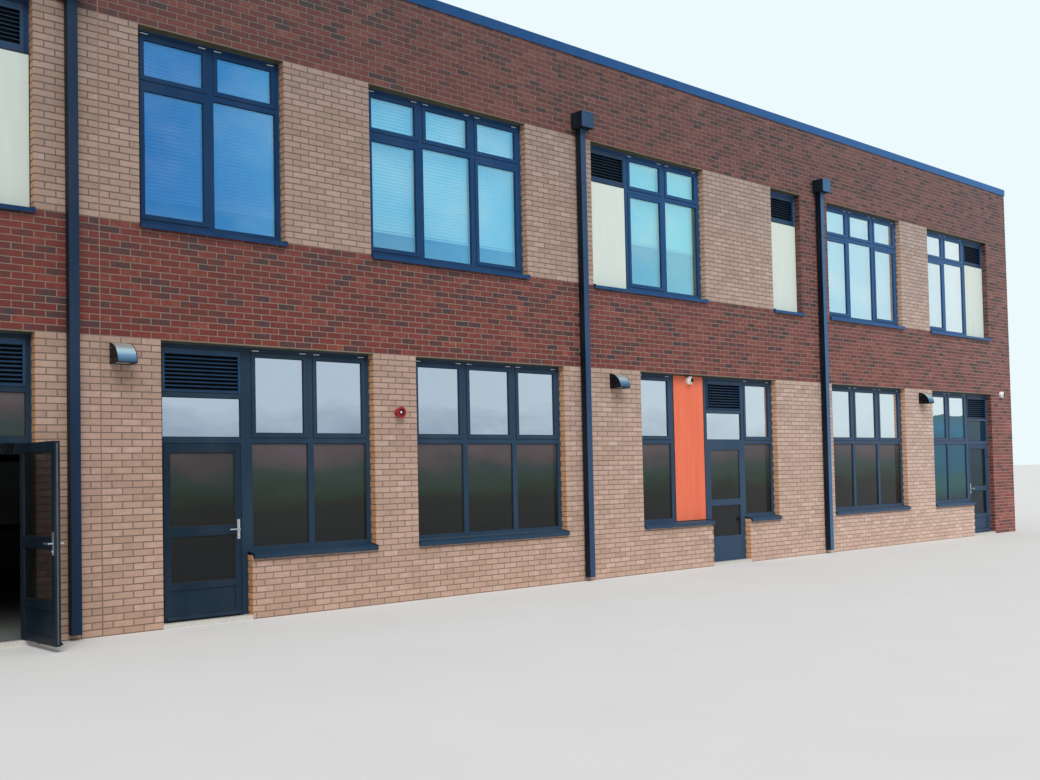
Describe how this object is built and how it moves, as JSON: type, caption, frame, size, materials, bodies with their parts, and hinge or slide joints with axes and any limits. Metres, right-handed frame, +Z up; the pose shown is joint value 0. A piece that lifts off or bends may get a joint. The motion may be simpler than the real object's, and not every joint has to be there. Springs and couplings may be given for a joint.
{
  "type": "two-storey school building",
  "caption": "Two-storey flat-roofed school block in red and buff brick with window bands, three hinged doors, louvres, sills, rainwater pipes and metal coping.",
  "frame": {"origin": "on the ground under the middle of the plan", "axes": "+X along the front wall to the right as seen from outside, +Y into the building, +Z up"},
  "size_m": [26.0385, 11.6074, 8.145],
  "materials": {
    "concrete": "power-floated concrete floor",
    "roofing": "grey single-ply roof covering",
    "red_brick": "red multi facing brick in stretcher bond with buff-grey mortar",
    "buff_brick": "buff facing brick in stretcher bond with brown-grey mortar",
    "coping_metal": "mid-blue powder coating, satin",
    "frame_metal": "slate-blue powder-coated aluminium, satin",
    "glazing": "clear double glazing",
    "louvre_metal": "slate-blue powder-coated louvre blades, in shade",
    "cream_panel": "cream coated insulated panel, satin",
    "orange_panel": "orange coated insulated panel, satin",
    "lintel_steel": "weathered galvanised steel",
    "light_metal": "brushed grey hood",
    "light_cheek": "black moulded end cheek",
    "light_lens": "frosted opal lens",
    "bell_red": "red gloss paint",
    "camera_white": "white moulded housing",
    "door_metal": "dark slate-blue powder coating, satin",
    "handle_steel": "satin stainless steel"
  },
  "bodies": {
    "building": {"ground_floor": "concrete", "first_floor": "concrete", "roof_deck": "roofing", "red_bands": "red_brick", "parapet_walls": "red_brick", "red_piers": "red_brick", "buff_piers_upper": "buff_brick", "buff_piers_lower": "buff_brick", "buff_spandrels": "buff_brick", "party_wall": "red_brick", "coping": "coping_metal", "upper_frames": "frame_metal", "lower_frames": "frame_metal", "door_frames": "frame_metal", "upper_vents": "frame_metal", "lower_vents": "frame_metal", "casements": "frame_metal", "upper_glass": "glazing", "lower_glass": "glazing", "upper_louvres": "louvre_metal", "lower_louvres": "louvre_metal", "cream_panels": "cream_panel", "orange_panel": "orange_panel", "fixed_door": "door_metal", "upper_sills": "frame_metal", "lower_sills": "frame_metal", "lintels": "lintel_steel", "rainwater_pipes": "frame_metal", "hoppers": "frame_metal", "pipe_brackets": "frame_metal", "wall_lights": "light_metal", "light_cheeks": "light_cheek", "light_lenses": "light_lens", "alarm_bell": "bell_red", "dome_cameras": "camera_white", "hinge_flaps": "frame_metal"},
    "main_door": {"main_door_leaf": "door_metal", "main_door_glass": "glazing", "main_door_handles": "handle_steel"},
    "class_door": {"class_door_leaf": "door_metal", "class_door_glass": "glazing", "class_door_handles": "handle_steel"},
    "end_door": {"end_door_leaf": "door_metal", "end_door_glass": "glazing", "end_door_handles": "handle_steel"}
  },
  "joints": [
    {"name": "main_door_hinge", "type": "hinge", "parent": "building", "child": "main_door", "pos_m": [-9.22675, -5.284, 1.05], "axis": [0, 0, 1], "range_deg": [-94, 6]},
    {"name": "class_door_hinge", "type": "hinge", "parent": "building", "child": "class_door", "pos_m": [-7.76075, -5.284, 1.05], "axis": [0, 0, 1], "range_deg": [-95, 0]},
    {"name": "end_door_hinge", "type": "hinge", "parent": "building", "child": "end_door", "pos_m": [11.92325, -5.284, 1.05], "axis": [0, 0, 1], "range_deg": [0, 95]}
  ]
}
